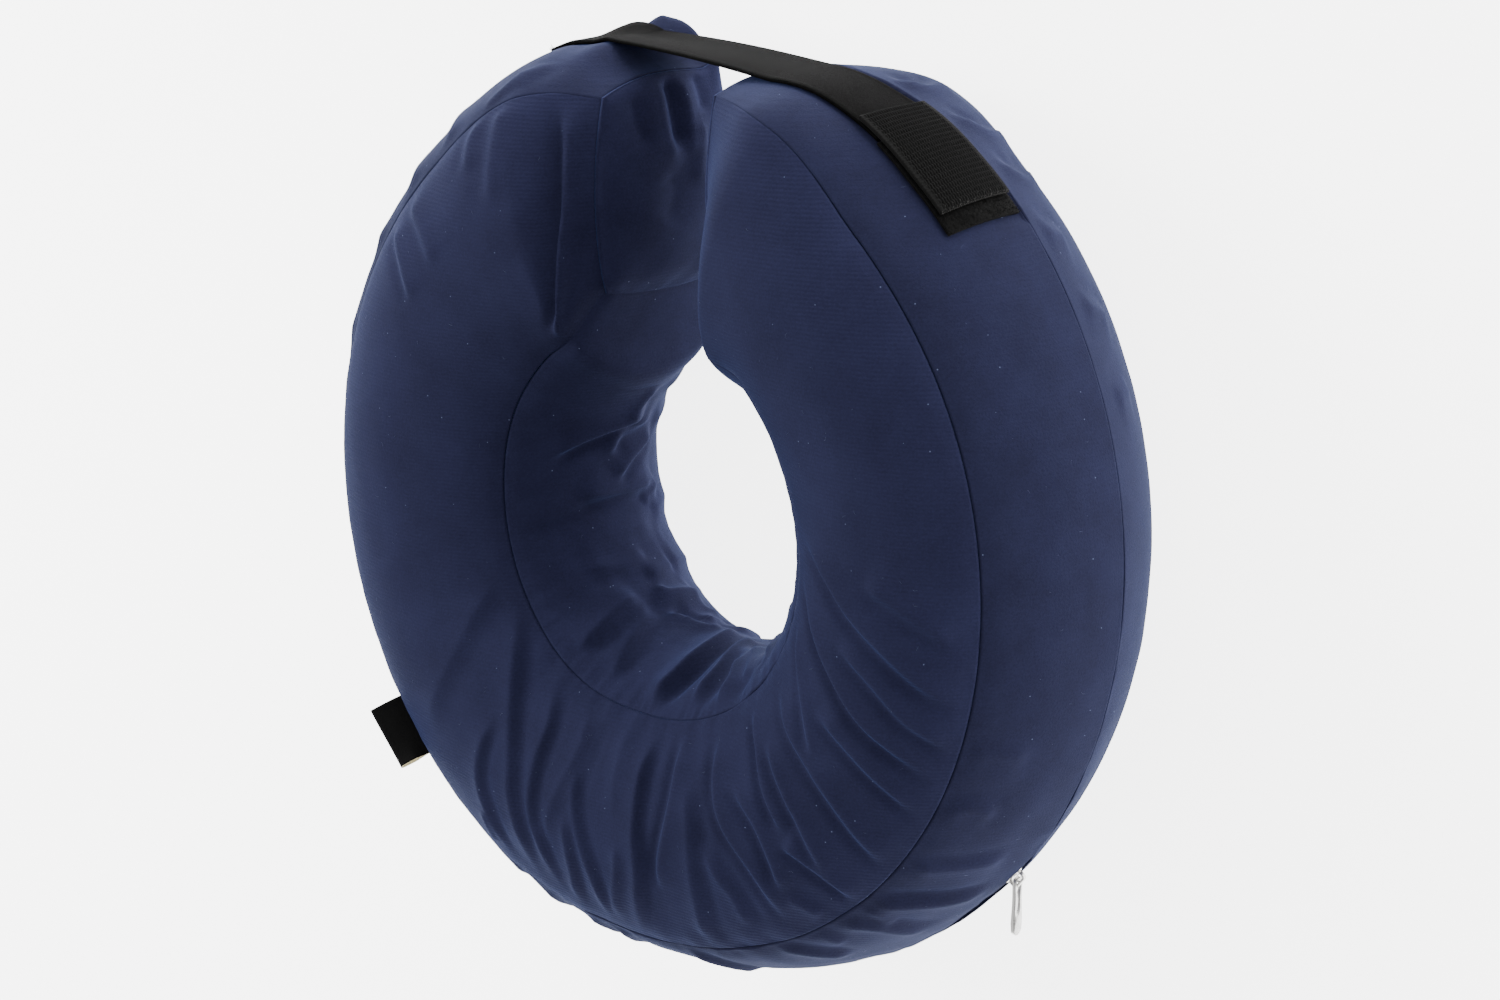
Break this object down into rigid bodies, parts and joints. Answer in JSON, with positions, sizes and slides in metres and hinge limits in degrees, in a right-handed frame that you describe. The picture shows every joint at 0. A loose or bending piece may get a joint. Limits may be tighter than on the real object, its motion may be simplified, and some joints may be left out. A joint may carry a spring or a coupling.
{
  "type": "inflatable recovery collar",
  "caption": "C-shaped inflated recovery collar for a pet in a padded, gathered cloth cover, its open gap bridged by a webbing strap with a hook fastener; zip with a swinging pull.",
  "frame": {"origin": "middle of the collar's extent seen from above, on the floor it lies on", "axes": "+Z is the axis of the neck opening and up, the front face up; +Y points at the open gap; +X points to the arm with the loop patch"},
  "size_m": [0.3236, 0.3132, 0.1112],
  "materials": {
    "cover_cloth": "dark navy brushed knit, matt, with fine ribs and a little lint",
    "bladder_film": "plain film, hidden",
    "zip_chain": "black coil on tape",
    "zip_metal": "silver, softly polished",
    "strap_webbing": "black woven webbing, matt",
    "hook_tape": "black ribbed hook tape",
    "loop_patch": "black fuzzy loop pile",
    "label_ribbon": "black woven ribbon, bare"
  },
  "bodies": {
    "collar": {"cover_front_panel": "cover_cloth", "cover_back_panel": "cover_cloth", "cover_inner_band": "cover_cloth", "outer_band_front": "cover_cloth", "outer_band_back": "cover_cloth", "end_cap_left": "cover_cloth", "end_cap_right": "cover_cloth", "air_bladder": "bladder_film", "zip_chain": "zip_chain", "zip_slider": "zip_metal", "closure_strap": "strap_webbing", "hook_tape": "hook_tape", "loop_patch": "loop_patch", "side_label": "label_ribbon"},
    "pull": {"zip_pull": "zip_metal"}
  },
  "joints": [
    {"name": "pull_hinge", "type": "hinge", "parent": "collar", "child": "pull", "pos_m": [0.12305, -0.10374, 0.04593], "axis": [0.0554, -0.0474, 0.9973], "range_deg": [-29, 135]}
  ]
}
